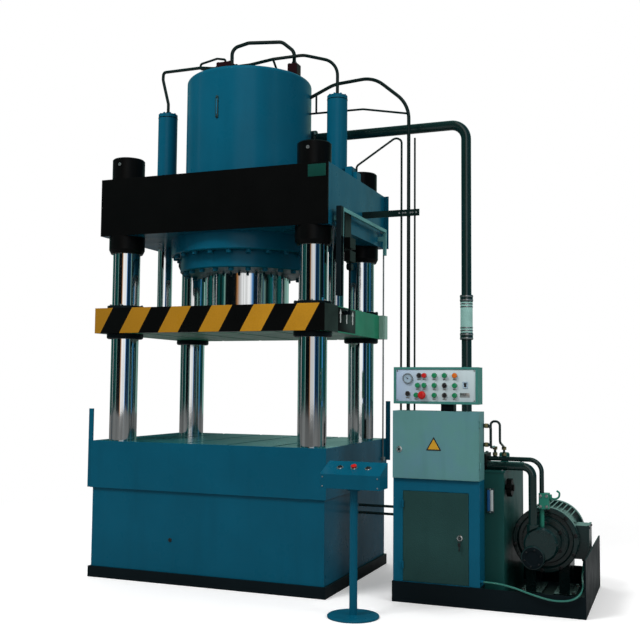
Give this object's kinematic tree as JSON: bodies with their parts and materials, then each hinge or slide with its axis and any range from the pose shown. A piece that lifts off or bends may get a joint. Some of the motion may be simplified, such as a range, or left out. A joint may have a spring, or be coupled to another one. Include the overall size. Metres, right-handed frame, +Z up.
{
  "type": "four-column hydraulic press",
  "caption": "Upright column press with a large top cylinder, a guided slide over a bed table, a motor and pump unit, a control cabinet and a two-hand button stand.",
  "frame": {"origin": "on the floor under the middle of the press table", "axes": "+Z up, -Y towards the operator, +X towards the control cabinet and power unit"},
  "size_m": [4.029, 2.1199, 4.646],
  "materials": {
    "bare_steel": "satin",
    "black_paint": "satin enamel",
    "blue_paint": "gloss enamel",
    "button_plastic": "gloss",
    "chrome": "polished",
    "dark_paint": "satin enamel",
    "door_paint": "hammered enamel",
    "gauge_clear": "clear",
    "grey_paint": "hammered enamel",
    "hazard_paint": "gloss stripes on black",
    "motor_green": "painted casting",
    "pipe_green": "gloss enamel",
    "sleeve_rubber": "matt",
    "slide_green": "gloss enamel",
    "table_steel": "ground",
    "tank_green": "gloss enamel",
    "valve_red": "satin enamel"
  },
  "bodies": {
    "frame": {"bed_apron": "blue_paint", "bed_body": "blue_paint", "bed_plinth": "dark_paint", "cabinet_hinges": "bare_steel", "cabinet_lower": "blue_paint", "cabinet_plinth": "dark_paint", "cabinet_upper": "grey_paint", "column_collars": "black_paint", "column_nuts": "black_paint", "columns": "chrome", "control_panel": "grey_paint", "crown_body": "blue_paint", "crown_front_plate": "black_paint", "cylinder_flange": "blue_paint", "cylinder_gland": "blue_paint", "gauge_pipes": "pipe_green", "guide_rod": "bare_steel", "level_gauge": "gauge_clear", "limit_frame": "grey_paint", "limit_rail": "dark_paint", "limit_switches": "black_paint", "link_pipes": "pipe_green", "main_cylinder": "blue_paint", "motor": "motor_green", "motor_conduit": "bare_steel", "motor_terminal_box": "motor_green", "oil_tank": "tank_green", "panel_buttons": "button_plastic", "panel_neck": "dark_paint", "pilot_blocks": "valve_red", "pilot_pipes": "pipe_green", "pipe_bracket": "pipe_green", "power_tray": "dark_paint", "pump": "motor_green", "pump_pipes": "pipe_green", "relief_valve": "bare_steel", "return_cylinders": "blue_paint", "return_valve_block": "blue_paint", "sensor_posts": "blue_paint", "stand_box": "blue_paint", "stand_buttons": "button_plastic", "stand_pole": "blue_paint", "suction_pipe": "pipe_green", "suction_sleeve": "sleeve_rubber", "table_plate": "table_steel", "tank_handwheel": "black_paint", "tank_lid": "tank_green", "tank_manifolds": "bare_steel", "top_pipes": "pipe_green"},
    "slide": {"guide_bushes": "dark_paint", "ram": "chrome", "return_rods": "chrome", "slide_body": "slide_green", "slide_front_plate": "hazard_paint", "striker_rod": "dark_paint"},
    "upper_door": {"upper_door": "grey_paint"},
    "lower_door": {"lower_door": "door_paint"}
  },
  "joints": [
    {"name": "slide_stroke", "type": "slide", "parent": "frame", "child": "slide", "axis": [0, 0, -1], "range_m": [-0.3, 0.6]},
    {"name": "upper_door_hinge", "type": "hinge", "parent": "frame", "child": "upper_door", "pos_m": [2.1965, -0.6095, 1.165], "axis": [0, 0, 1], "range_deg": [0, 110]},
    {"name": "lower_door_hinge", "type": "hinge", "parent": "frame", "child": "lower_door", "pos_m": [1.6125, -0.607, 0.49], "axis": [0, 0, -1], "range_deg": [0, 110]}
  ]
}
